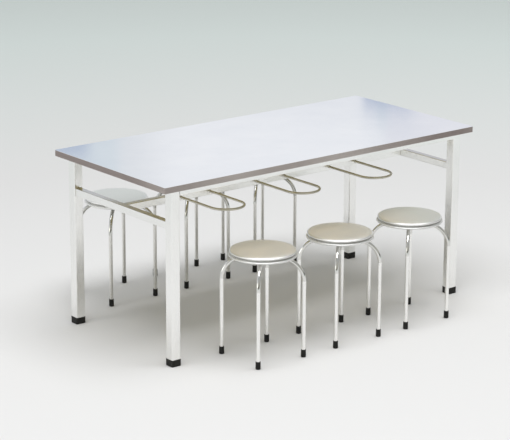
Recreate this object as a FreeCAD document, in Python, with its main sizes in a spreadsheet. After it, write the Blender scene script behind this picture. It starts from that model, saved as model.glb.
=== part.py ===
"""Canteen table with six loose round stools, built as a parametric document.

Millimetres. +Z is up, the floor is z = 0 and the origin lies on it under the table's centre.
+X runs along the table and -Y is its front side. Every piece is a body of its own, and its
export file is named after its label.
"""
import FreeCAD, Part
import math
import os
import re
import Sketcher

# Driving dimensions: alias, value in millimetres, meaning.
SIZES = (
    ("table_length", 1650, "tabletop, end to end"),
    ("table_depth", 760, "tabletop, front to back"),
    ("table_height", 750, "floor to the top of the tabletop"),
    ("top_thickness", 25, "tabletop with its steel skin"),
    ("top_corner", 4, "plan radius of the tabletop's corners"),
    ("skin_thickness", 1, "steel skin of the tabletop"),
    ("band_thickness", 1.5, "edge band round the board"),
    ("end_overhang", 48, "tabletop beyond the legs at each end"),
    ("side_overhang", 25, "tabletop beyond the legs at each long side"),
    ("leg_side", 42, "square leg tube, outside"),
    ("leg_corner", 4, "outer corner radius of the leg tube"),
    ("leg_wall", 1.5, "wall of the leg tube"),
    ("cap_height", 28, "foot cap, floor to rim"),
    ("cap_floor", 4, "foot cap under the leg"),
    ("cap_wall", 1.5, "foot cap beside the leg"),
    ("cap_bevel", 1.2, "bevel round the foot cap's sole"),
    ("top_rail_side", 25, "square tube of the rails under the tabletop"),
    ("low_rail_side", 30, "square tube of the end rails and the centre beam"),
    ("low_rail_drop", 150, "tabletop's underside to the axes of the end rails, beam and hangers"),
    ("rail_corner", 2.5, "outer corner radius of the rail tubes"),
    ("rail_wall", 1.5, "wall of the rail tubes"),
    ("hanger_rod", 10, "diameter of the hanger rods"),
    ("hanger_width", 151, "hanger, arm axis to arm axis"),
    ("hanger_reach", 292, "table centre to the axis of a hanger's tip"),
    ("hanger_pitch", 400, "hanger to hanger along the beam"),
    ("tab_length", 40, "fixing tab along the rail"),
    ("tab_reach", 26, "fixing tab out from the rail"),
    ("tab_thickness", 3, "fixing tab"),
    ("tab_near", 210, "inner fixing tabs from the table's centre"),
    ("tab_far", 620, "outer fixing tabs from the table's centre"),
    ("screw_shank", 5, "diameter of the tabletop screws"),
    ("screw_head", 8, "their hexagon heads, across the flats"),
    ("screw_head_rise", 3, "height of their heads"),
    ("screw_bite", 16, "depth of the screws in the board"),
    ("hole_room", 0.4, "a hole's diameter over its screw's"),
    ("left_stool_x", -404, "left stools along the table"),
    ("middle_stool_x", 0.5, "middle stools along the table"),
    ("right_stool_x", 387.5, "right stools along the table"),
    ("front_stool_y", -460.5, "front row of stools"),
    ("rear_stool_y", 544, "rear row of stools"),
    ("stool_height", 450, "floor to the top of the seat"),
    ("seat_inset", 4, "rim of the pressed seat top inside the pan's rim"),
    ("seat_rise", 18, "pressed seat top, skirt to crown"),
    ("seat_flat", 84, "radius of the level middle of the seat"),
    ("seat_crown", 1.6, "fall of the seat top from its middle to its rim"),
    ("seat_rim", 10.6, "rolled rim of the seat top, across"),
    ("skirt_inset", 5, "skirt of the seat top inside its rim"),
    ("pan_radius", 139, "seat pan, over its rolled rim"),
    ("pan_rise", 9, "seat pan, bottom to top of the rim"),
    ("pan_rim", 14, "width of the pan's rolled rim"),
    ("press_wall", 1.2, "sheet of the seat top and the pan"),
    ("plate_radius", 62, "mounting plate on the leg tubes"),
    ("plate_thickness", 2.6, "mounting plate"),
    ("weld_gap", 0.2, "between a round tube and what it is welded to"),
    ("tube_diameter", 16, "stool leg tube"),
    ("tube_wall", 1.2, "wall of the stool leg tube"),
    ("foot_radius", 165.5, "stool centre to the axis of a leg"),
    ("bend_radius", 95, "bend of a leg, on the tube's axis"),
    ("ferrule_wall", 2.5, "rubber ferrule beside the tube"),
    ("ferrule_height", 33, "rubber ferrule, floor to rim"),
    ("ferrule_floor", 4, "rubber ferrule under the tube"),
    ("ferrule_bevel", 1.5, "bevel round the ferrule's sole"),
)
ALIASES = {alias for alias, value, meaning in SIZES}

# Places that several pieces share, as formulas of the sheet's cells.
UNDERSIDE = "(table_height - top_thickness)"
LEG_X = "(table_length / 2 - end_overhang - leg_side / 2)"
LEG_Y = "(table_depth / 2 - side_overhang - leg_side / 2)"
LEG_INNER_X = "(table_length / 2 - end_overhang - leg_side)"
LEG_INNER_Y = "(table_depth / 2 - side_overhang - leg_side)"
TOP_RAIL_Z = "(table_height - top_thickness - top_rail_side / 2)"
LOW_RAIL_Z = "(table_height - top_thickness - low_rail_drop)"
SIDE_RAIL_Y = "(table_depth / 2 - side_overhang - top_rail_side / 2)"
SCREW_Y = "(table_depth / 2 - side_overhang - top_rail_side - tab_reach / 2)"
CORE_LENGTH = "(table_length - 2 * band_thickness)"
CORE_DEPTH = "(table_depth - 2 * band_thickness)"
BAND_HEIGHT = "(top_thickness - skin_thickness)"
HOLE_RADIUS = "((screw_shank + hole_room) / 2)"
SKIRT_Z = "(stool_height - seat_rise)"
PAN_Z = "(" + SKIRT_Z + " - pan_rise)"
PLATE_Z = "(" + PAN_Z + " - plate_thickness)"
TUBE_AXIS_Z = "(" + PLATE_Z + " - weld_gap - tube_diameter / 2)"
BEND_Z = "(" + TUBE_AXIS_Z + " - bend_radius)"
SEAT_RADIUS = "(pan_radius - seat_inset)"
OCTAGON_CUT = "(1 - sqrt(0.5))"  # of an octagon's width, what each corner cut takes

HAIR = 0.01  # millimetres that count as nothing

document = FreeCAD.newDocument("canteen_table")
sheet = document.addObject("Spreadsheet::Sheet", "Sizes")
pieces = []


def fill_sheet():
    """Writes one row for each driving dimension: meaning, value, alias."""
    for row, (alias, value, meaning) in enumerate(SIZES, start=1):
        sheet.set("A%d" % row, meaning)
        sheet.set("B%d" % row, str(value))
        sheet.setAlias("B%d" % row, alias)
    document.recompute()


def tied(formula):
    """The formula as an expression, with each alias led by the sheet's name."""
    def lead(word):
        return "Sizes." + word.group() if word.group() in ALIASES else word.group()
    return re.sub(r"[a-z_]+", lead, formula)


def value(formula):
    """What the formula comes to with the sheet's present values."""
    return float(sheet.evalExpression(tied(formula)))


def bind(thing, path, formula):
    """Ties one property of a document object to the sheet."""
    thing.setExpression(path, tied(formula))


def new_body(label, x="0", y="0", z="0", turn=0):
    """A body placed by three formulas and turned by degrees about Z."""
    body = document.addObject("PartDesign::Body", label)
    body.Label = label
    body.AllowCompound = True
    body.Placement = FreeCAD.Placement(FreeCAD.Vector(), FreeCAD.Rotation(turn, 0, 0))
    bind(body, "Placement.Base.x", x)
    bind(body, "Placement.Base.y", y)
    bind(body, "Placement.Base.z", z)
    pieces.append(body)
    return body


def origin_feature(body, role):
    """The body's own origin plane or axis of that role."""
    for feature in body.Origin.OriginFeatures:
        if feature.Role == role:
            return feature
    raise ValueError("no origin feature " + role)


def new_sketch(body, plane, height="0"):
    """A sketch on one of the body's origin planes, moved along its normal."""
    sketch = body.newObject("Sketcher::SketchObject", body.Name + "_sketch")
    sketch.AttachmentSupport = (origin_feature(body, plane), [""])
    sketch.MapMode = "FlatFace"
    bind(sketch, "AttachmentOffset.Base.z", height)
    return sketch


def fix_point(sketch, geometry, end, x, y):
    """Holds one end of a line or arc, or a centre, at two formulas from the sketch's origin."""
    for kind, formula in (("DistanceX", x), ("DistanceY", y)):
        rule = Sketcher.Constraint(kind, -1, 1, geometry, end, value(formula))
        index = sketch.addConstraint(rule)
        bind(sketch, "Constraints[%d]" % index, formula)


def fix_radius(sketch, geometry, radius):
    index = sketch.addConstraint(Sketcher.Constraint("Radius", geometry, value(radius)))
    bind(sketch, "Constraints[%d]" % index, radius)


def arc_between(start, end, radius, turn):
    """An arc of up to half a circle; turn is 1 where it bends left and -1 where it bends right."""
    chord = end - start
    rise = math.sqrt(max(radius ** 2 - chord.Length ** 2 / 4, 0))
    left = FreeCAD.Vector(-chord.y, chord.x, 0).normalize()
    centre = start + chord / 2 + left * rise * turn
    first, last = (start, end) if turn > 0 else (end, start)
    low = math.atan2(first.y - centre.y, first.x - centre.x)
    high = math.atan2(last.y - centre.y, last.x - centre.x)
    if high <= low:
        high += 2 * math.pi
    circle = Part.Circle(centre, FreeCAD.Vector(0, 0, 1), radius)
    return Part.ArcOfCircle(circle, low, high)


def draw(sketch, corners, closed=True):
    """Draws lines and arcs from corner to corner and fixes each corner by its formulas.

    A corner is (x, y) where a straight line leaves it and (x, y, radius, turn) where an arc does.
    """
    points = [FreeCAD.Vector(value(corner[0]), value(corner[1]), 0) for corner in corners]
    count = len(corners) if closed else len(corners) - 1
    ends = []
    for i in range(count):
        start, end = points[i], points[(i + 1) % len(points)]
        if len(corners[i]) == 2:
            index = sketch.addGeometry(Part.LineSegment(start, end), False)
            ends.append((index, 1, 2))
        else:
            radius, turn = corners[i][2:]
            index = sketch.addGeometry(arc_between(start, end, value(radius), turn), False)
            ends.append((index, 1, 2) if turn > 0 else (index, 2, 1))
            fix_radius(sketch, index, radius)
    for i in range(count if closed else count - 1):
        index, first, last = ends[i]
        follower, entry, leave = ends[(i + 1) % count]
        sketch.addConstraint(Sketcher.Constraint("Coincident", index, last, follower, entry))
    for i, (index, first, last) in enumerate(ends):
        fix_point(sketch, index, first, *corners[i][:2])
    if not closed:
        fix_point(sketch, ends[-1][0], ends[-1][2], *corners[-1][:2])


def draw_circle(sketch, radius, x="0", y="0"):
    centre = FreeCAD.Vector(value(x), value(y), 0)
    circle = Part.Circle(centre, FreeCAD.Vector(0, 0, 1), value(radius))
    index = sketch.addGeometry(circle, False)
    fix_radius(sketch, index, radius)
    fix_point(sketch, index, 3, x, y)


def draw_rectangle(sketch, width, depth, x="0", y="0", corner=None):
    """A rectangle about (x, y); its corners are arcs where a corner radius is given."""
    left, right = "%s - %s / 2" % (x, width), "%s + %s / 2" % (x, width)
    low, high = "%s - %s / 2" % (y, depth), "%s + %s / 2" % (y, depth)
    if corner is None:
        draw(sketch, [(left, low), (right, low), (right, high), (left, high)])
        return
    inner_left, inner_right = left + " + " + corner, right + " - " + corner
    inner_low, inner_high = low + " + " + corner, high + " - " + corner
    draw(sketch, [
        (inner_left, low), (inner_right, low, corner, 1),
        (right, inner_low), (right, inner_high, corner, 1),
        (inner_right, high), (inner_left, high, corner, 1),
        (left, inner_high), (left, inner_low, corner, 1),
    ])


def draw_post(sketch, x, height):
    """An upright construction line, as the axis of a revolution."""
    foot = FreeCAD.Vector(value(x), 0, 0)
    head = FreeCAD.Vector(value(x), value(height), 0)
    index = sketch.addGeometry(Part.LineSegment(foot, head), True)
    fix_point(sketch, index, 1, x, "0")
    fix_point(sketch, index, 2, x, height)


def draw_hexagon(sketch, across_flats, x, y):
    """A hexagon about (x, y), with two of its flats along X."""
    half = across_flats + " / 2"
    side = across_flats + " / sqrt(3)"
    draw(sketch, [
        (x + " + " + side, y), (x + " + " + side + " / 2", y + " + " + half),
        (x + " - " + side + " / 2", y + " + " + half), (x + " - " + side, y),
        (x + " - " + side + " / 2", y + " - " + half), (x + " + " + side + " / 2", y + " - " + half),
    ])


def pad(body, sketch, length):
    feature = body.newObject("PartDesign::Pad", body.Name + "_pad")
    feature.Profile = sketch
    bind(feature, "Length", length)


def pocket(body, sketch, depth):
    """A pocket cut upwards from its sketch; it has to take material away."""
    document.recompute()
    before = body.Shape.Volume
    feature = body.newObject("PartDesign::Pocket", body.Name + "_pocket")
    feature.Profile = sketch
    feature.Reversed = True
    bind(feature, "Length", depth)
    document.recompute()
    if body.Shape.Volume >= before:
        raise ValueError(body.Label + ": the pocket cuts nothing")
    return feature


def revolve(body, sketch, axis="V_Axis"):
    """A full turn of the sketch about its upright axis, or about its post (Axis0)."""
    feature = body.newObject("PartDesign::Revolution", body.Name + "_revolution")
    feature.Profile = sketch
    feature.ReferenceAxis = (sketch, [axis])
    feature.Angle = 360
    return feature


def sweep(body, profile, path):
    feature = body.newObject("PartDesign::AdditivePipe", body.Name + "_pipe")
    feature.Profile = profile
    feature.Spine = path
    return feature


def four_times_round(body, features):
    """Repeats features at quarter turns about the body's Z axis."""
    pattern = body.newObject("PartDesign::PolarPattern", body.Name + "_pattern")
    pattern.Originals = features
    pattern.Axis = (origin_feature(body, "Z_Axis"), [""])
    pattern.Angle = 360
    pattern.Occurrences = 4
    body.Tip = pattern


def edges_on_floor(shape):
    """The names of the edges that lie flat at z = 0."""
    return ["Edge%d" % number for number, edge in enumerate(shape.Edges, start=1)
            if edge.BoundBox.ZMax < HAIR]


def rolled_edge(outside, top, across):
    """Corners, from the top down, of half an octagon that stands for a rolled round edge."""
    cut = OCTAGON_CUT + " * " + across
    bottom = top + " - " + across
    return [(outside + " - " + cut, top), (outside, top + " - " + cut),
            (outside, bottom + " + " + cut), (outside + " - " + cut, bottom)]


def square_tube(label, plane, side, corner, wall, length, x, y, z):
    """A square tube with rounded corners, padded from its body's origin along the plane's normal."""
    body = new_body(label, x, y, z)
    sketch = new_sketch(body, plane)
    draw_rectangle(sketch, side, side, corner=corner)
    bore = "(%s - 2 * %s)" % (side, wall)
    draw_rectangle(sketch, bore, bore, corner="(%s - %s)" % (corner, wall))
    pad(body, sketch, length)


def tabletop():
    """A board in an edge band, under a steel skin that covers both."""
    core = new_body("tabletop_core", z=UNDERSIDE)
    sketch = new_sketch(core, "XY_Plane")
    draw_rectangle(sketch, CORE_LENGTH, CORE_DEPTH, corner="(top_corner - band_thickness)")
    pad(core, sketch, BAND_HEIGHT)
    holes = new_sketch(core, "XY_Plane")
    for x, y in screw_places():
        draw_circle(holes, HOLE_RADIUS, x, y)
    pocket(core, holes, "screw_bite")

    band = new_body("tabletop_edge_band", z=UNDERSIDE)
    sketch = new_sketch(band, "XY_Plane")
    draw_rectangle(sketch, "table_length", "table_depth", corner="top_corner")
    draw_rectangle(sketch, CORE_LENGTH, CORE_DEPTH, corner="(top_corner - band_thickness)")
    pad(band, sketch, BAND_HEIGHT)

    skin = new_body("tabletop_steel_skin", z="table_height - skin_thickness")
    sketch = new_sketch(skin, "XY_Plane")
    draw_rectangle(sketch, "table_length", "table_depth", corner="top_corner")
    pad(skin, sketch, "skin_thickness")


def screw_places():
    """Where the fixing tabs and their screws sit, as formulas from the table's centre."""
    return [(x, y)
            for y in ("-" + SCREW_Y, SCREW_Y)
            for x in ("-tab_far", "-tab_near", "tab_near", "tab_far")]


def fixings():
    """Tabs welded inside the long rails, and the screws that hold the board down on them."""
    tabs = new_body("tabletop_fixing_tabs", z=UNDERSIDE + " - tab_thickness")
    sketch = new_sketch(tabs, "XY_Plane")
    for x, y in screw_places():
        draw_rectangle(sketch, "tab_length", "tab_reach", x, y)
        draw_circle(sketch, HOLE_RADIUS, x, y)
    pad(tabs, sketch, "tab_thickness")

    screws = new_body("tabletop_screws", z=UNDERSIDE + " - tab_thickness")
    heads = new_sketch(screws, "XY_Plane", "-screw_head_rise")
    shanks = new_sketch(screws, "XY_Plane")
    for x, y in screw_places():
        draw_hexagon(heads, "screw_head", x, y)
        draw_circle(shanks, "screw_shank / 2", x, y)
    pad(screws, heads, "screw_head_rise")
    pad(screws, shanks, "tab_thickness + screw_bite - hole_room")


def foot_caps():
    """A rubber cup under each leg, wider than the leg by its wall."""
    caps = new_body("leg_foot_caps")
    outside = new_sketch(caps, "XY_Plane")
    inside = new_sketch(caps, "XY_Plane", "cap_floor")
    width = "(leg_side + 2 * cap_wall)"
    for x in ("-" + LEG_X, LEG_X):
        for y in ("-" + LEG_Y, LEG_Y):
            draw_rectangle(outside, width, width, x, y, corner="(leg_corner + cap_wall)")
            draw_rectangle(inside, "leg_side", "leg_side", x, y, corner="leg_corner")
    pad(caps, outside, "cap_height")
    cups = pocket(caps, inside, "cap_height - cap_floor")
    bevel = caps.newObject("PartDesign::Chamfer", caps.Name + "_bevel")
    bevel.Base = (cups, edges_on_floor(cups.Shape))
    bind(bevel, "Size", "cap_bevel")


def frame():
    """Four legs, the rails under the top, and the end rails that carry the centre beam."""
    for row, y in (("front", "-" + LEG_Y), ("rear", LEG_Y)):
        for side, x in (("left", "-" + LEG_X), ("right", LEG_X)):
            square_tube(row + "_" + side + "_leg", "XY_Plane", "leg_side", "leg_corner", "leg_wall",
                        UNDERSIDE + " - cap_floor", x, y, "cap_floor")
    for row, y in (("front", "-" + SIDE_RAIL_Y), ("rear", SIDE_RAIL_Y)):
        square_tube(row + "_top_rail", "YZ_Plane", "top_rail_side", "rail_corner", "rail_wall",
                    "2 * " + LEG_INNER_X, "-" + LEG_INNER_X, y, TOP_RAIL_Z)
    for side, x in (("left", "-" + LEG_X), ("right", LEG_X)):
        square_tube(side + "_top_rail", "XZ_Plane", "top_rail_side", "rail_corner", "rail_wall",
                    "2 * " + LEG_INNER_Y, x, LEG_INNER_Y, TOP_RAIL_Z)
        square_tube(side + "_end_rail", "XZ_Plane", "low_rail_side", "rail_corner", "rail_wall",
                    "2 * " + LEG_INNER_Y, x, LEG_INNER_Y, LOW_RAIL_Z)
    beam_end = "(" + LEG_X + " - low_rail_side / 2)"
    square_tube("centre_beam", "YZ_Plane", "low_rail_side", "rail_corner", "rail_wall",
                "2 * " + beam_end, "-" + beam_end, "0", LOW_RAIL_Z)


def hangers():
    """U-bent rods welded to both sides of the centre beam, three to a side."""
    arm = "(hanger_width / 2)"
    root = "(low_rail_side / 2)"
    arm_end = "(hanger_reach - hanger_width / 2)"
    for row, turn in (("front", 180), ("rear", 0)):
        for side, step in (("left", -1), ("middle", 0), ("right", 1)):
            body = new_body(row + "_" + side + "_hanger", "%d * hanger_pitch" % step,
                            "0", LOW_RAIL_Z, turn)
            path = new_sketch(body, "XY_Plane")
            draw(path, [
                (arm, root), (arm, arm_end, arm, 1), ("0", "hanger_reach", arm, 1),
                ("-" + arm, arm_end), ("-" + arm, root),
            ], closed=False)
            section = new_sketch(body, "XZ_Plane", "-" + root)
            draw_circle(section, "hanger_rod / 2", arm, "0")
            sweep(body, section, path)


def seat_top(name, x, y):
    """A pressed sheet: crowned top, rolled rim and a skirt that stands on the pan's rim."""
    body = new_body(name + "_seat_top", x, y, SKIRT_Z)
    sketch = new_sketch(body, "XZ_Plane")
    rim_top = "(seat_rise - seat_crown)"
    skirt = "(" + SEAT_RADIUS + " - skirt_inset)"
    lining = "(" + SEAT_RADIUS + " - skirt_inset - press_wall)"
    draw(sketch, [
        ("0", "seat_rise - press_wall"), ("0", "seat_rise"), ("seat_flat", "seat_rise"),
        *rolled_edge(SEAT_RADIUS, rim_top, "seat_rim"),
        (skirt, rim_top + " - seat_rim"), (skirt, "0"), (lining, "0"),
        (lining, rim_top + " - press_wall"), ("seat_flat", "seat_rise - press_wall"),
    ])
    revolve(body, sketch)


def seat_pan(name, x, y):
    """A pressed tray under the seat top, with its edge rolled into a round rim."""
    body = new_body(name + "_seat_pan", x, y, PAN_Z)
    sketch = new_sketch(body, "XZ_Plane")
    hollow = "(pan_radius - pan_rim)"
    draw(sketch, [
        ("0", "press_wall"), (hollow, "press_wall"), (hollow, "pan_rise"),
        *rolled_edge("pan_radius", "pan_rise", "pan_rise"), ("0", "0"),
    ])
    revolve(body, sketch)


def mounting_plate(name, x, y):
    """The round plate, welded on the leg tubes, that carries the pan."""
    body = new_body(name + "_mounting_plate", x, y, PLATE_Z)
    sketch = new_sketch(body, "XY_Plane")
    draw_circle(sketch, "plate_radius")
    pad(body, sketch, "plate_thickness")


def leg_frame(name, x, y):
    """Four tubes bent over and run in under the seat, where they meet in a cross.

    The straight run of each tube is bored to its wall, and its bend is solid.
    """
    body = new_body(name + "_leg_frame", x, y, "0", turn=45)
    path = new_sketch(body, "XZ_Plane")
    draw(path, [
        ("foot_radius", "ferrule_floor"), ("foot_radius", BEND_Z, "bend_radius", 1),
        ("foot_radius - bend_radius", TUBE_AXIS_Z), ("tube_diameter / 2 + weld_gap", TUBE_AXIS_Z),
    ], closed=False)
    section = new_sketch(body, "XY_Plane", "ferrule_floor")
    draw_circle(section, "tube_diameter / 2", "foot_radius", "0")
    tube = sweep(body, section, path)
    bore_sketch = new_sketch(body, "XY_Plane", "ferrule_floor")
    draw_circle(bore_sketch, "tube_diameter / 2 - tube_wall", "foot_radius", "0")
    bore = pocket(body, bore_sketch, BEND_Z + " - ferrule_floor")
    four_times_round(body, [tube, bore])


def ferrules(name, x, y):
    """Rubber cups over the ends of the leg tubes, bevelled at the sole."""
    body = new_body(name + "_ferrules", x, y, "0", turn=45)
    sketch = new_sketch(body, "XZ_Plane")
    outside = "(foot_radius + tube_diameter / 2 + ferrule_wall)"
    socket = "(foot_radius + tube_diameter / 2)"
    draw_post(sketch, "foot_radius", "ferrule_height")
    draw(sketch, [
        ("foot_radius", "0"), (outside + " - ferrule_bevel", "0"), (outside, "ferrule_bevel"),
        (outside, "ferrule_height"), (socket, "ferrule_height"), (socket, "ferrule_floor"),
        ("foot_radius", "ferrule_floor"),
    ])
    four_times_round(body, [revolve(body, sketch, "Axis0")])


def stool(name, x, y):
    """One loose stool: a seat of two pressings and a plate on four bent legs with ferrules."""
    for make in (seat_top, seat_pan, mounting_plate, leg_frame, ferrules):
        make(name, x, y)


def check_and_write():
    """Refuses a failed object or an unsound solid, then writes one file for each piece."""
    for thing in document.Objects:
        if "Invalid" in thing.State or "Error" in thing.State:
            raise ValueError("%s failed: %s" % (thing.Label, thing.State))
    for body in pieces:
        if body.Shape.isNull() or not body.Shape.isValid() or not body.Shape.Solids:
            raise ValueError(body.Label + " has no sound solid")
    os.makedirs("parts", exist_ok=True)
    for body in pieces:
        body.Shape.exportStep("parts/%s.step" % body.Label)
    print(len(pieces), "pieces written")


fill_sheet()
tabletop()
fixings()
frame()
foot_caps()
hangers()
for row in ("front", "rear"):
    for side in ("left", "middle", "right"):
        stool(row + "_" + side + "_stool", side + "_stool_x", row + "_stool_y")
document.recompute()
check_and_write()
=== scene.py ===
import math
import random

import bmesh
import bpy
from mathutils import Matrix, Vector


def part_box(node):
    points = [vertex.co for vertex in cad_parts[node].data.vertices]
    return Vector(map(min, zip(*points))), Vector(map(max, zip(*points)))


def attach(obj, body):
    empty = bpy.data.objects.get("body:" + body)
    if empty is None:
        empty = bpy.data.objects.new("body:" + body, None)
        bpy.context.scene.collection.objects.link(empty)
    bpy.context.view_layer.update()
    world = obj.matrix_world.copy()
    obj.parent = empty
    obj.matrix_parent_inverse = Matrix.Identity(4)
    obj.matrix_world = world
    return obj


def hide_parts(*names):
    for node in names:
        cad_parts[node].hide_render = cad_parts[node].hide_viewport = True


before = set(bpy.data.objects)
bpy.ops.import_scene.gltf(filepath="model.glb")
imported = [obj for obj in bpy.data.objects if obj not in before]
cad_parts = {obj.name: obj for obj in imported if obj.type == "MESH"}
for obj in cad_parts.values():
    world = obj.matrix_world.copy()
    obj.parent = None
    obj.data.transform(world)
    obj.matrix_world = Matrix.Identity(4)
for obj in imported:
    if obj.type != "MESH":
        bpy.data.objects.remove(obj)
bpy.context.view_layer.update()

# Camera: metres and degrees, in the frame of the CAD model. Its lens and sensor are in millimetres.
CAMERA_PLACE = Vector((-5.4703, -6.6857, 2.8813))
CAMERA_AZIMUTH = -38.91
CAMERA_ELEVATION = 16.09
CAMERA_ROLL = 0.25
CAMERA_LENS = 149.18
CAMERA_SENSOR = 36.0
CAMERA_REACH = 200

# Softbox: metres and watts.
SOFTBOX_PLACE = (-1.2, -1.9, 9.0)
SOFTBOX_SIZE = (10.0, 6.2)
SOFTBOX_POWER = 845
SOFTBOX_COLOUR = (0.98, 0.98, 1.0)

FLOOR_HALF = 60.0       # half of the floor's side
FLOOR_NEAR = 2.5        # metres from the table where the floor's tone starts to change
FLOOR_FAR = 6.0
FLOOR_TONE = (0.70, 0.695, 0.685)
# Painted light: the far floor is lighter and cooler, making up for the softbox's falloff.
FAR_FLOOR_LIGHT = (0.77, 0.83, 0.805)

# What the studio shows from each side, as linear colours.
WALL = (0.87, 0.885, 0.915)
FRONT_WALL = (0.52, 0.51, 0.46)
LOW_WALL = (0.80, 0.82, 0.86)
LEFT_WINDOW = (2.75, 2.74, 2.55)
DARK_FRONT = (0.13, 0.125, 0.115)
LEFT_SHADE = (0.76, 0.785, 0.82)
LEFT_PANEL = (0.68, 0.74, 0.79)
RIGHT_PANEL = (0.79, 0.80, 0.85)
WALL_GAP = (0.40, 0.47, 0.62)
RIGHT_SIDE = (0.48, 0.48, 0.455)
DARK_SIDE = (0.02, 0.021, 0.02)
CEILING = (0.425, 0.44, 0.44)

# The studio's layers over its walls, from the first to the last. Each has a colour, its fades in azimuth
# (degrees from +Y towards +X) and its fades in height (the sine of the elevation). A fade is a pair: where
# the layer starts to show, and where it is full.
FRONT_FADE = (0.2, -0.4)
LEFT_START = (-20, 5)
LEFT_HEIGHTS = ((0.34, 0.28), (0.12, 0.20))
RIGHT_AZIMUTHS = ((66, 80), (172, 160))
LAYERS = (
    (LOW_WALL, ((25, 35), (60, 50)), ((0.2355, 0.225),)),
    (LEFT_WINDOW, ((-98, -86), (-45, -62)), ((0.25, 0.16),)),
    (DARK_FRONT, ((-172, -160), (-96, -108)), ((0.0, 0.03), (0.22, 0.17))),
    (LEFT_SHADE, (LEFT_START, (37.0, 35.3)), LEFT_HEIGHTS),
    (LEFT_PANEL, (LEFT_START, (35.3, 34.9)), LEFT_HEIGHTS),
    (WALL_GAP, (LEFT_START, (34.5, 34.0)), (*LEFT_HEIGHTS, (0.2475, 0.2445))),
    (RIGHT_PANEL, ((42.35, 42.7), (56, 50)), ()),
    (LEFT_PANEL, ((42.2, 42.35), (42.65, 42.5)), ((0.236, 0.230),)),
    (WALL_GAP, ((41.8, 42.0), (43.6, 43.0)), ((0.2265, 0.2235),)),
    (RIGHT_SIDE, RIGHT_AZIMUTHS, ()),
    (DARK_SIDE, RIGHT_AZIMUTHS, ((0.0, 0.02), (0.16, 0.11))),
    (CEILING, (), ((0.30, 0.68),)),
)

# How noise is stretched, to give a grain along an axis or in all directions.
EVENLY = (1, 1, 1)
ALONG_X = (0.02, 1, 1)
ALONG_Y = (1, 0.02, 1)
ALONG_Z = (1, 1, 0.02)

# Colours of the finishes and of painted shade and reflection, linear.
BRIGHT = (0.95, 0.95, 0.935)
DULL = (0.90, 0.90, 0.885)
# Painted shade: the upward faces of the cross rails and the centre beam are darker, for the dark board
# above them that they mirror.
CROSS_RAIL_TOP_SHADE = (0.62, 0.60, 0.57)
BEAM_TOP_SHADE = (0.66, 0.65, 0.61)
# Painted shade: the rear row's tubes, which stand in the table's shade.
REAR_TUBE_SHADE = (0.79, 0.785, 0.76)
# Painted shade: the tube bends, darker for the dark underside of the seats that they mirror.
BEND_PAINTED_SHADE = (0.80, 0.80, 0.79)
# Painted reflection and shade: the cooler, darker face of the right and rear seats, outside the warm
# painted reflection of the front left seats.
COOL_SEAT = (0.79, 0.805, 0.77)
SEAT_RIM = (0.88, 0.88, 0.865)
# Painted shade in the recessed groove between each seat's rim and its pan.
GROOVE_SHADE = (0.59, 0.58, 0.56)

# Where one finish or painted shade fades to the next, from start to end: in metres along Y, X or Z, or in
# the height of a face's normal.
ROW_FADE_OF_TUBES = (-0.05, 0.05)
ROW_FADE_OF_SEATS = (-0.1, 0.1)
RIGHT_SEATS = (0.20, 0.42)
BEND_START = (0.317, 0.321)
FACE_UPWARD = (0.6, 0.9)
SEAT_LEVEL = (0.90, 0.985)

# The groove between a seat's rim and its pan, where shade is painted: heights in metres.
GROOVE_FOOT = 0.4302
GROOVE_TOP = 0.4374
GROOVE_FADE = 0.0006

# Painted shade on the edge band, darker towards its ends and its rear: the axis, how much, and from where
# to where along it.
BAND_PAINTED_SHADES = (("X", 0.75, 0.1, 0.55), ("X", 0.45, -0.5, -0.83), ("Y", 0.75, -0.38, 0.3))

# Welds, in metres.
WELD_STEP = 0.0008      # from ring to ring of a bead
WELD_RIPPLE = 0.0026    # from ripple to ripple
WELD_SIDES = 8          # corners of a bead's section
HANGER_BEAD = 0.0016
FRAME_BEAD = 0.0017
PLATE_BEAD = 0.0014

ROWS = ("front", "rear")
SIDES = ("left", "middle", "right")
STOOLS = [row + "_" + side + "_stool" for row in ROWS for side in SIDES]
HANGERS = [row + "_" + side + "_hanger" for row in ROWS for side in SIDES]
LEGS = [row + "_" + side + "_leg" for row in ROWS for side in ("left", "right")]

SHARP_ANGLE = math.radians(40)

# A Mix node's kind, two inputs and output, for numbers and for colours.
MIX_OF_NUMBERS = ("FLOAT", (2, 3), 0)
MIX_OF_COLOURS = ("RGBA", (6, 7), 2)

random.seed(7)


# Nodes of a material or of the world, which is the owner

def add_node(owner, kind, **settings):
    """A node with its inputs or properties set by name (spaces as underscores)."""
    made = owner.node_tree.nodes.new(kind)
    for key, value in settings.items():
        socket = made.inputs.get(key.replace("_", " "))
        if socket is not None:
            socket.default_value = value
        else:
            setattr(made, key, value)
    return made


def link(owner, source, target):
    owner.node_tree.links.new(source, target)


def coordinates(owner, kind):
    """The X, Y and Z of a kind of texture coordinates, such as Object or Normal."""
    place = add_node(owner, "ShaderNodeTexCoord")
    parts = add_node(owner, "ShaderNodeSeparateXYZ")
    link(owner, place.outputs[kind], parts.inputs["Vector"])
    return parts.outputs


def spread(owner, source, low, high, start=0.3, end=0.7, interpolation="LINEAR"):
    """Maps a value from start..end, where most of a noise lies, to low..high."""
    ranged = add_node(owner, "ShaderNodeMapRange", interpolation_type=interpolation, From_Min=start,
                      From_Max=end, To_Min=low, To_Max=high)
    link(owner, source, ranged.inputs["Value"])
    return ranged.outputs["Result"]


def combine(owner, operation, first, second, **settings):
    """What a Math node makes of two outputs."""
    made = add_node(owner, "ShaderNodeMath", operation=operation, **settings)
    link(owner, first, made.inputs[0])
    link(owner, second, made.inputs[1])
    return made.outputs[0]


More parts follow.
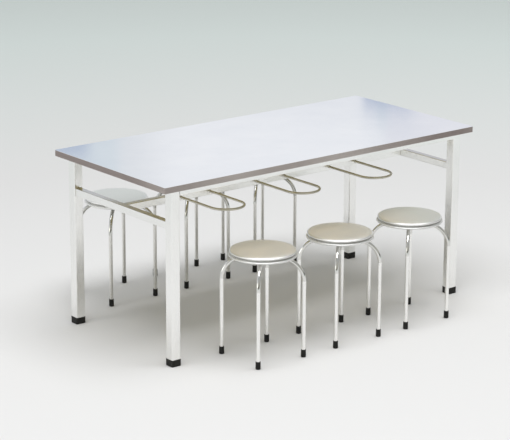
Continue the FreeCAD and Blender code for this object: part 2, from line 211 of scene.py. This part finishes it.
def mix(owner, share, under, over, blend_type="MIX"):
    """Lays over on under as far as share says. Each is a colour, a number or the output of a node."""
    of_numbers = isinstance(under, float) or isinstance(over, float)
    data_type, sockets, result = MIX_OF_NUMBERS if of_numbers else MIX_OF_COLOURS
    made = add_node(owner, "ShaderNodeMix", data_type=data_type, blend_type=blend_type)
    for value, socket in zip((under, over), sockets):
        if isinstance(value, tuple):
            made.inputs[socket].default_value = (*value, 1)
        elif isinstance(value, float):
            made.inputs[socket].default_value = value
        else:
            link(owner, value, made.inputs[socket])
    link(owner, share, made.inputs["Factor"])
    return made.outputs[result]


# Materials

def new_material(name):
    material = bpy.data.materials.new(name)
    material.use_nodes = True
    return material


def shader_of(material):
    return material.node_tree.nodes["Principled BSDF"]


def source_of(material, socket):
    """The output that feeds a socket of the shader."""
    return shader_of(material).inputs[socket].links[0].from_socket


def feed(material, socket, source):
    """Links an output to a socket of the shader, in place of what fed it."""
    link(material, source, shader_of(material).inputs[socket])


def noise(material, scale, stretch=EVENLY, detail=4.0):
    """Noise over the object's own coordinates, drawn out along the axes where stretch is small."""
    place = add_node(material, "ShaderNodeTexCoord")
    mapping = add_node(material, "ShaderNodeMapping", Scale=stretch)
    texture = add_node(material, "ShaderNodeTexNoise", Scale=scale, Detail=detail)
    link(material, place.outputs["Object"], mapping.inputs["Vector"])
    link(material, mapping.outputs["Vector"], texture.inputs["Vector"])
    return texture.outputs["Fac"]


def bump(material, source, depth, strength):
    relief = add_node(material, "ShaderNodeBump", Strength=strength, Distance=depth)
    link(material, source, relief.inputs["Height"])
    feed(material, "Normal", relief.outputs["Normal"])


def steel(name, bright, dull, rough, stretch=EVENLY, grain=900.0, relief=0.00001):
    """Stainless steel: a fine directional grain, and broad cloudy wear in tone and gloss."""
    material = new_material(name)
    shader_of(material).inputs["Metallic"].default_value = 1.0
    clouds = noise(material, scale=7.0, detail=3.0)
    lines = noise(material, grain, stretch)
    feed(material, "Base Color", mix(material, spread(material, clouds, 0, 1), bright, dull))
    feed(material, "Roughness", spread(material, lines, *rough))
    bump(material, lines, relief, strength=0.5)
    return material


def rail_steel(name, stretch):
    return steel(name, BRIGHT, DULL, rough=(0.22, 0.27), stretch=stretch, relief=0.000002)


def shaded_tops(material, dust_and_shade):
    """Upward faces are painted darker than the sides: painted shade for the dark underside of the board
    above them, which they mirror.
    """
    upward = spread(material, coordinates(material, "Normal")["Z"], 0, 1, *FACE_UPWARD)
    feed(material, "Base Color", mix(material, upward, source_of(material, "Base Color"), dust_and_shade))
    return material


def tube_steel(name):
    """Bent tube: satin on its straight runs and shinier where it is bent. Painted shade darkens the bends,
    which mirror the dark underside of the seats, and the whole rear row, which stands in the table's
    shade.
    """
    material = steel(name, bright=(0.97, 0.965, 0.945), dull=(0.92, 0.915, 0.90), rough=(0.22, 0.3),
                     stretch=ALONG_Z, grain=500.0, relief=0.000005)
    place = coordinates(material, "Object")
    rear = spread(material, place["Y"], 0, 1, *ROW_FADE_OF_TUBES)
    bent = spread(material, place["Z"], 0, 1, *BEND_START)
    # Painted shade: darker tubes in the rear row, and darker bends.
    tone = mix(material, rear, source_of(material, "Base Color"), REAR_TUBE_SHADE)
    feed(material, "Base Color", mix(material, bent, tone, BEND_PAINTED_SHADE, "MULTIPLY"))
    bend_roughness = 0.13
    feed(material, "Roughness", mix(material, bent, source_of(material, "Roughness"), bend_roughness))
    return material


def seat_steel(name):
    """Pressed sheet: a soft brushed face and a plainer rim. The face's warmth at the front left is a
    painted reflection of the olive board and the shaded floor; on the right and rear seats the face is
    cooler and darker, and in the rear row this is painted shade.
    """
    material = steel(name, bright=(0.94, 0.90, 0.84), dull=(0.86, 0.845, 0.81), rough=(0.44, 0.54),
                     grain=700.0)
    place = coordinates(material, "Object")
    # Painted reflection and shade: the right and rear seats lose the warm painted reflection and take the
    # cooler, darker tone.
    right = spread(material, place["X"], 0, 1, *RIGHT_SEATS)
    rear = spread(material, place["Y"], 0, 1, *ROW_FADE_OF_SEATS)
    cool = combine(material, "MAXIMUM", right, rear)
    face = mix(material, cool, source_of(material, "Base Color"), COOL_SEAT)
    level = spread(material, coordinates(material, "Normal")["Z"], 0, 1, *SEAT_LEVEL)
    # Painted shade: the groove between rim and pan is darker.
    below_rim = spread(material, place["Z"], 1, 0, GROOVE_TOP - GROOVE_FADE, GROOVE_TOP)
    above_pan = spread(material, place["Z"], 0, 1, GROOVE_FOOT, GROOVE_FOOT + GROOVE_FADE)
    groove = combine(material, "MULTIPLY", below_rim, above_pan)
    tone = mix(material, level, SEAT_RIM, face)
    feed(material, "Base Color", mix(material, groove, tone, GROOVE_SHADE))
    rim_roughness = 0.38
    feed(material, "Roughness", mix(material, level, rim_roughness, source_of(material, "Roughness")))
    return material


def rubber(name):
    material = new_material(name)
    shader_of(material).inputs["Specular IOR Level"].default_value = 0.3
    specks = noise(material, scale=1400.0)
    dust_and_shade = spread(material, noise(material, scale=60.0), 0, 1)
    black, dusty = (0.007, 0.007, 0.006), (0.016, 0.016, 0.014)
    feed(material, "Base Color", mix(material, dust_and_shade, black, dusty))
    feed(material, "Roughness", spread(material, specks, 0.5, 0.75))
    bump(material, specks, depth=0.0001, strength=0.4)
    return material


def edge_band(name):
    """Taupe plastic banding: fine lengthwise grain over broad stretches, with painted shade towards its
    ends and its rear.
    """
    material = new_material(name)
    streaks = noise(material, scale=260.0, stretch=(0.05, 0.05, 1))
    clouds = noise(material, scale=2.6, detail=2.0)
    grain = spread(material, streaks, 0, 1)
    light = mix(material, grain, (0.43, 0.385, 0.36), (0.47, 0.425, 0.40))
    dark = mix(material, grain, (0.22, 0.178, 0.168), (0.26, 0.215, 0.20))
    place = coordinates(material, "Object")
    darker = spread(material, clouds, low=0, high=0.4, start=0.35, end=0.65)
    # Painted shade towards the band's ends and its rear.
    for axis, most, start, end in BAND_PAINTED_SHADES:
        painted_shade = spread(material, place[axis], 0, most, start, end)
        darker = combine(material, "ADD", darker, painted_shade, use_clamp=True)
    feed(material, "Base Color", mix(material, darker, light, dark))
    feed(material, "Roughness", spread(material, streaks, 0.38, 0.5))
    bump(material, streaks, depth=0.00005, strength=0.4)
    return material


def board(name):
    """The olive-brown sealed underside of the board, with chips that show through."""
    material = new_material(name)
    chips = noise(material, scale=160.0, stretch=(0.6, 1, 1), detail=6.0)
    tone = mix(material, spread(material, chips, 0, 1), (0.52, 0.44, 0.205), (0.60, 0.51, 0.255))
    feed(material, "Base Color", tone)
    feed(material, "Roughness", spread(material, chips, 0.5, 0.65))
    bump(material, chips, depth=0.0001, strength=0.3)
    return material


def floor_paint(name):
    """Pale studio floor, painted a little lighter and cooler far out: painted light where the softbox's
    light falls off.
    """
    material = new_material(name)
    place = add_node(material, "ShaderNodeTexCoord")
    distance = add_node(material, "ShaderNodeVectorMath", operation="LENGTH")
    link(material, place.outputs["Object"], distance.inputs[0])
    far = spread(material, distance.outputs["Value"], 0, 1, FLOOR_NEAR, FLOOR_FAR)
    feed(material, "Base Color", mix(material, far, FLOOR_TONE, FAR_FLOOR_LIGHT))
    shader_of(material).inputs["Roughness"].default_value = 0.85
    shader_of(material).inputs["Specular IOR Level"].default_value = 0.2
    return material


MATERIALS = {
    "tabletop_steel": steel("tabletop_steel", bright=(0.93, 0.935, 0.95), dull=(0.89, 0.90, 0.925),
                            rough=(0.04, 0.08), stretch=ALONG_X),
    "upright_steel": steel("upright_steel", BRIGHT, DULL, rough=(0.16, 0.28), stretch=ALONG_Z),
    "long_rail_steel": rail_steel("long_rail_steel", ALONG_X),
    "cross_rail_steel": shaded_tops(rail_steel("cross_rail_steel", ALONG_Y), CROSS_RAIL_TOP_SHADE),
    "beam_steel": shaded_tops(rail_steel("beam_steel", ALONG_X), BEAM_TOP_SHADE),
    # Painted shade and reflection: the hanger rods' darker khaki steel stands for the shade under the
    # table and the brown board they mirror.
    "hanger_steel": steel("hanger_steel", bright=(0.62, 0.59, 0.50), dull=(0.54, 0.515, 0.44),
                          rough=(0.3, 0.4), grain=500.0),
    "plate_steel": steel("plate_steel", BRIGHT, DULL, rough=(0.2, 0.35), grain=500.0),
    "tube_steel": tube_steel("tube_steel"),
    "seat_steel": seat_steel("seat_steel"),
    "pan_steel": steel("pan_steel", bright=(0.82, 0.82, 0.805), dull=(0.78, 0.78, 0.765),
                       rough=(0.46, 0.54), grain=700.0),
    "screw_steel": steel("screw_steel", bright=(0.7, 0.69, 0.66), dull=(0.6, 0.59, 0.56),
                         rough=(0.3, 0.45)),
    "weld_steel": steel("weld_steel", bright=(0.74, 0.72, 0.68), dull=(0.58, 0.56, 0.53),
                        rough=(0.25, 0.45), grain=400.0),
    "edge_band": edge_band("edge_band"),
    "board": board("board"),
    "black_rubber": rubber("black_rubber"),
}


def paint(thing, material):
    thing.data.materials.clear()
    thing.data.materials.append(MATERIALS[material])


def paint_cad_nodes():
    """Gives each CAD node that stays its material."""
    finish = {
        "tabletop_core": "board",
        "tabletop_edge_band": "edge_band",
        "tabletop_steel_skin": "tabletop_steel",
        "tabletop_fixing_tabs": "long_rail_steel",
        "tabletop_screws": "screw_steel",
        "leg_foot_caps": "black_rubber",
        "centre_beam": "beam_steel",
        "front_top_rail": "long_rail_steel",
        "rear_top_rail": "long_rail_steel",
        "left_top_rail": "cross_rail_steel",
        "right_top_rail": "cross_rail_steel",
        "left_end_rail": "cross_rail_steel",
        "right_end_rail": "cross_rail_steel",
    }
    finish.update((leg, "upright_steel") for leg in LEGS)
    finish.update((hanger, "hanger_steel") for hanger in HANGERS)
    for stool in STOOLS:
        finish[stool + "_leg_frame"] = "tube_steel"
        finish[stool + "_mounting_plate"] = "plate_steel"
    for node, material in finish.items():
        paint(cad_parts[node], material)


# Pieces

def arc(x, z, radius, start, end, steps):
    """Points of a profile's arc about (x, z), angles in degrees from +x towards +z."""
    points = []
    for i in range(steps + 1):
        angle = math.radians(start + (end - start) * i / steps)
        points.append((x + radius * math.cos(angle), z + radius * math.sin(angle)))
    return points


def finish_mesh(name, shape):
    """Turns a bmesh into an object, smooth but for its sharp edges."""
    bmesh.ops.recalc_face_normals(shape, faces=shape.faces)
    mesh = bpy.data.meshes.new(name)
    shape.to_mesh(mesh)
    shape.free()
    mesh.polygons.foreach_set("use_smooth", [True] * len(mesh.polygons))
    mesh.set_sharp_from_angle(angle=SHARP_ANGLE)
    piece = bpy.data.objects.new(name, mesh)
    bpy.context.scene.collection.objects.link(piece)
    return piece


def lathe(name, profile, centres, turns=128):
    """A closed profile of (radius, height) turned about each centre, in one mesh."""
    shape = bmesh.new()
    for centre in centres:
        rings = []
        for radius, height in profile:
            if radius == 0:
                rings.append([shape.verts.new((centre[0], centre[1], height))])
                continue
            ring = []
            for k in range(turns):
                angle = 2 * math.pi * k / turns
                x = centre[0] + radius * math.cos(angle)
                y = centre[1] + radius * math.sin(angle)
                ring.append(shape.verts.new((x, y, height)))
            rings.append(ring)
        for low, high in zip(rings, rings[1:] + rings[:1]):
            if len(low) == 1 and len(high) == 1:
                continue
            for k in range(turns):
                follower = (k + 1) % turns
                corners = [low[k % len(low)], low[follower % len(low)],
                           high[follower % len(high)], high[k % len(high)]]
                shape.faces.new(dict.fromkeys(corners))
    return finish_mesh(name, shape)


def stand_for(piece, node, body, material):
    """The piece takes a CAD node's place on its body."""
    paint(piece, material)
    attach(piece, body)
    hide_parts(node)


def seat_top(stool):
    """The seat top with its crowned face, pressed line and rolled rim. Gives its centre."""
    low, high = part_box(stool + "_seat_top")
    centre = (low + high) / 2
    radius = (high.x - low.x) / 2
    rim, crown, skirt_inset, wall = 0.0053, 0.0026, 0.0080, 0.0012
    shoulder_width, line_width, line_depth = 0.0105, 0.0030, 0.0006
    crown_steps, crown_power, shoulder_steps, roll_start = 12, 5, 8, -13
    edge = high.z - crown
    rim_z = edge - rim
    face = radius - shoulder_width - line_width
    profile = [(0, high.z - wall), (0, high.z)]
    for i in range(1, crown_steps + 1):
        share = i / crown_steps
        profile.append((face * share, high.z - crown * share ** crown_power))
    profile.append((face + line_width / 2, edge - line_depth))
    for i in range(shoulder_steps + 1):
        angle = math.radians(90 - 90 * i / shoulder_steps)
        profile.append((radius - shoulder_width * (1 - math.cos(angle)), rim_z + rim * math.sin(angle)))
    profile += arc(radius - rim, rim_z, rim, start=roll_start, end=-90, steps=7)
    skirt = radius - skirt_inset
    profile += [(skirt, low.z), (skirt - wall, low.z), (skirt - wall, edge - wall)]
    piece = lathe(stool + "_seat_pressing", profile, [centre])
    stand_for(piece, stool + "_seat_top", stool, "seat_steel")
    return centre


def seat_pan(stool, centre):
    """The pan under the seat top, with its round edge."""
    low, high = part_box(stool + "_seat_pan")
    radius = (high.x - low.x) / 2
    roll, wall = 0.0037, 0.0012
    hollow, neck = radius - 0.0135, radius - 0.0115
    profile = [(0, low.z + wall), (hollow, low.z + wall), (hollow, high.z), (neck, high.z)]
    profile += [(neck, low.z + 2 * roll)]
    profile += arc(radius - roll, low.z + roll, roll, start=90, end=-90, steps=14)
    profile += [(0, low.z)]
    piece = lathe(stool + "_pan_pressing", profile, [centre])
    stand_for(piece, stool + "_seat_pan", stool, "pan_steel")


def rubber_ferrules(stool):
    """Four moulded ferrules: a rounded sole, a slight draught and a beaded mouth."""
    low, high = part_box(stool + "_ferrules")
    plate_low, plate_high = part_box(stool + "_mounting_plate")
    middle = (plate_low + plate_high) / 2
    radius, bore, sole = 0.0105, 0.0080, 0.004
    rounding, draught, bead, bead_drop = 0.003, 0.0003, 0.0015, 0.001
    draught_foot, draught_drop = 0.008, 0.006
    reach = (high.x - low.x) / 2 - radius
    height = high.z
    profile = [(0, 0), (radius - rounding, 0)]
    profile += arc(radius - rounding, rounding, rounding, start=-90, end=0, steps=6)
    profile += [(radius, draught_foot), (radius - draught, height - draught_drop)]
    profile += arc(radius - bead, height - bead - bead_drop, bead, start=-30, end=90, steps=6)
    profile += [(bore, height - bead_drop), (bore, sole), (0, sole)]
    centres = [(middle.x + i * reach, middle.y + j * reach) for i in (-1, 1) for j in (-1, 1)]
    piece = lathe(stool + "_rubber_ferrules", profile, centres, turns=40)
    stand_for(piece, stool + "_ferrules", stool, "black_rubber")


def disc(face, radius, top, foot, bevel, bevel_height):
    """The profile of a disc from top above a face to foot below it, with its lower edge bevelled."""
    return [(0, face + top), (radius, face + top), (radius, face - foot + bevel_height),
            (radius - bevel, face - foot), (0, face - foot)]


def plate_screws(stool):
    """Four hexagon-headed screws on washers, up through the mounting plate into the pan."""
    low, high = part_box(stool + "_mounting_plate")
    middle = (low + high) / 2
    reach = 0.045
    centres = [(middle.x + reach * i, middle.y + reach * j) for i, j in ((1, 0), (0, 1), (-1, 0), (0, -1))]
    washer = disc(low.z, radius=0.0055, top=0.0004, foot=0.0010, bevel=0.0005, bevel_height=0.0004)
    head = disc(low.z, radius=0.0038, top=-0.0005, foot=0.0042, bevel=0.0005, bevel_height=0.0006)
    for name, profile, turns in (("_plate_washers", washer, 32), ("_plate_screws", head, 6)):
        piece = lathe(stool + name, profile, centres, turns)
        paint(piece, "screw_steel")
        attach(piece, stool)


# Welds

def line_points(start, end):
    start, end = Vector(start), Vector(end)
    count = max(2, round((end - start).length / WELD_STEP))
    return [start.lerp(end, i / count) for i in range(count + 1)]


def path_points(corners):
    """Points at even steps along straight runs from corner to corner."""
    points = []
    for start, end in zip(corners, corners[1:]):
        points += line_points(start, end)[:-1]
    return points + [Vector(corners[-1])]


def ring_points(centre, first, second, radius):
    """Points round a circle in the plane of two unit vectors."""
    centre, first, second = Vector(centre), Vector(first), Vector(second)
    count = round(2 * math.pi * radius / WELD_STEP)
    points = []
    for i in range(count):
        angle = 2 * math.pi * i / count
        points.append(centre + radius * (first * math.cos(angle) + second * math.sin(angle)))
    return points


def lay_bead(shape, points, normal, thickness, closed=False):
    """A rippled bead along the points; normal is square to all of them."""
    normal = Vector(normal)
    ripple, unevenness, end_size = 0.22, 0.04, 0.5
    rings = []
    count = len(points)
    for i, point in enumerate(points):
        ahead = points[(i + 1) % count] if closed else points[min(i + 1, count - 1)]
        behind = points[i - 1] if closed else points[max(i - 1, 0)]
        across = (ahead - behind).normalized().cross(normal)
        wave = abs(math.sin(math.pi * i * WELD_STEP / WELD_RIPPLE))
        radius = thickness * (1 - ripple + ripple * wave + random.uniform(-unevenness, unevenness))
        if not closed and i in (0, count - 1):
            radius *= end_size
        ring = []
        for k in range(WELD_SIDES):
            angle = 2 * math.pi * k / WELD_SIDES
            outward = across * math.cos(angle) + normal * math.sin(angle)
            ring.append(shape.verts.new(point + radius * outward))
        rings.append(ring)
    followers = rings[1:] + rings[:1] if closed else rings[1:]
    for ring, follower in zip(rings, followers):
        for k in range(WELD_SIDES):
            j = (k + 1) % WELD_SIDES
            shape.faces.new((ring[k], ring[j], follower[j], follower[k]))
    if not closed:
        shape.faces.new(rings[0])
        shape.faces.new(rings[-1])


def welded(name, body, shape):
    piece = finish_mesh(name, shape)
    paint(piece, "weld_steel")
    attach(piece, body)


def hanger_welds():
    """A ring weld at the root of each hanger arm, on the side of the beam."""
    shape = bmesh.new()
    past_rod = 0.0005
    for hanger in HANGERS:
        low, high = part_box(hanger)
        rod = (high.z - low.z) / 2
        root = low.y if low.y > 0 else high.y
        for x in (low.x + rod, high.x - rod):
            ring = ring_points((x, root, low.z + rod), (1, 0, 0), (0, 0, 1), rod + past_rod)
            lay_bead(shape, ring, (0, 1, 0), HANGER_BEAD, closed=True)
    welded("hanger_welds", "table", shape)


def frame_welds():
    """Fillet welds where the rails meet the legs and where the beam meets the end rails."""
    shape = bmesh.new()
    below_top, above_foot, past_round = 0.002, 0.001, 0.003
    for row, inward in (("front", 1), ("rear", -1)):
        low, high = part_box(row + "_top_rail")
        inner, outer = (high.y, low.y) if inward > 0 else (low.y, high.y)
        for x in (low.x, high.x):
            corners = [(x, outer + inward * past_round, low.z), (x, inner, low.z),
                       (x, inner, high.z - below_top)]
            lay_bead(shape, path_points(corners), (1, 0, 0), FRAME_BEAD)
    for side in ("left", "right"):
        low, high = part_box(side + "_top_rail")
        for y in (low.y, high.y):
            corners = [(low.x, y, high.z - below_top), (low.x, y, low.z), (high.x, y, low.z),
                       (high.x, y, high.z - below_top)]
            lay_bead(shape, path_points(corners), (0, 1, 0), FRAME_BEAD)
        low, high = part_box(side + "_end_rail")
        for y in (low.y, high.y):
            corners = [(low.x, y, high.z), (low.x, y, low.z), (high.x, y, low.z), (high.x, y, high.z),
                       (low.x, y, high.z)]
            lay_bead(shape, path_points(corners)[:-1], (0, 1, 0), FRAME_BEAD, closed=True)
    low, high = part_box("centre_beam")
    for x in (low.x, high.x):
        for y in (low.y, high.y):
            run = line_points((x, y, low.z + above_foot), (x, y, high.z - above_foot))
            lay_bead(shape, run, (1, 0, 0), FRAME_BEAD)
    welded("frame_welds", "table", shape)


def plate_welds(stool):
    """A weld along each side of every leg tube, under the mounting plate."""
    shape = bmesh.new()
    low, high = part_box(stool + "_mounting_plate")
    middle = (low + high) / 2
    aside, drop, run_start, run_end = 0.0042, 0.0009, 0.020, 0.058
    for i, j in ((1, 1), (-1, 1), (-1, -1), (1, -1)):
        along = Vector((i, j, 0)).normalized()
        beside = Vector((-along.y, along.x, 0))
        for side in (1, -1):
            start = Vector((middle.x, middle.y, low.z - drop)) + beside * aside * side
            run = line_points(start + along * run_start, start + along * run_end)
            lay_bead(shape, run, (0, 0, 1), PLATE_BEAD)
    welded(stool + "_plate_welds", stool, shape)


# Stage

def make_camera():
    azimuth, elevation = math.radians(CAMERA_AZIMUTH), math.radians(CAMERA_ELEVATION)
    back = Vector((math.sin(azimuth) * math.cos(elevation), -math.cos(azimuth) * math.cos(elevation),
                   math.sin(elevation)))
    level = Vector((math.cos(azimuth), math.sin(azimuth), 0))
    upright = back.cross(level)
    roll = math.radians(CAMERA_ROLL)
    right = level * math.cos(roll) + upright * math.sin(roll)
    up = upright * math.cos(roll) - level * math.sin(roll)
    turn = Matrix((right, up, back)).transposed().to_4x4()
    data = bpy.data.cameras.new("camera")
    data.lens = CAMERA_LENS
    data.sensor_width = CAMERA_SENSOR
    data.clip_end = CAMERA_REACH
    camera = bpy.data.objects.new("camera", data)
    bpy.context.scene.collection.objects.link(camera)
    camera.matrix_world = Matrix.Translation(CAMERA_PLACE) @ turn
    bpy.context.scene.camera = camera


def make_floor():
    mesh = bpy.data.meshes.new("floor")
    corners = [(FLOOR_HALF * i, FLOOR_HALF * j, 0) for i, j in ((-1, -1), (1, -1), (1, 1), (-1, 1))]
    mesh.from_pydata(corners, [], [(0, 1, 2, 3)])
    floor = bpy.data.objects.new("floor", mesh)
    bpy.context.scene.collection.objects.link(floor)
    floor.data.materials.append(floor_paint("floor_paint"))


def make_world():
    """A pale studio: light walls under a dimmer ceiling, with panels behind the table, a window at the
    left, and darker places at the right and behind the camera."""
    world = bpy.data.worlds.new("studio")
    bpy.context.scene.world = world
    world.use_nodes = True
    direction = coordinates(world, "Generated")
    azimuth = combine(world, "ARCTAN2", direction["X"], direction["Y"])

    def fade(value, start, end):
        return spread(world, value, 0, 1, start, end, "SMOOTHSTEP")

    colour = mix(world, fade(direction["Y"], *FRONT_FADE), WALL, FRONT_WALL)
    for layer, azimuths, heights in LAYERS:
        fades = [fade(azimuth, math.radians(start), math.radians(end)) for start, end in azimuths]
        fades += [fade(direction["Z"], start, end) for start, end in heights]
        share = fades[0]
        for other in fades[1:]:
            share = combine(world, "MULTIPLY", share, other)
        colour = mix(world, share, colour, layer)
    link(world, colour, world.node_tree.nodes["Background"].inputs["Color"])


def make_light():
    """One broad softbox high overhead, a little in front of the table and to its left."""
    data = bpy.data.lights.new("overhead_softbox", "AREA")
    data.shape = "RECTANGLE"
    data.size, data.size_y = SOFTBOX_SIZE
    data.energy = SOFTBOX_POWER
    data.color = SOFTBOX_COLOUR
    light = bpy.data.objects.new("overhead_softbox", data)
    light.location = SOFTBOX_PLACE
    light.visible_camera = False
    bpy.context.scene.collection.objects.link(light)


bpy.context.scene.view_settings.view_transform = "Standard"
make_camera()
make_floor()
make_world()
make_light()
paint_cad_nodes()
for stool in STOOLS:
    seat_pan(stool, seat_top(stool))
    rubber_ferrules(stool)
    plate_screws(stool)
    plate_welds(stool)
hanger_welds()
frame_welds()
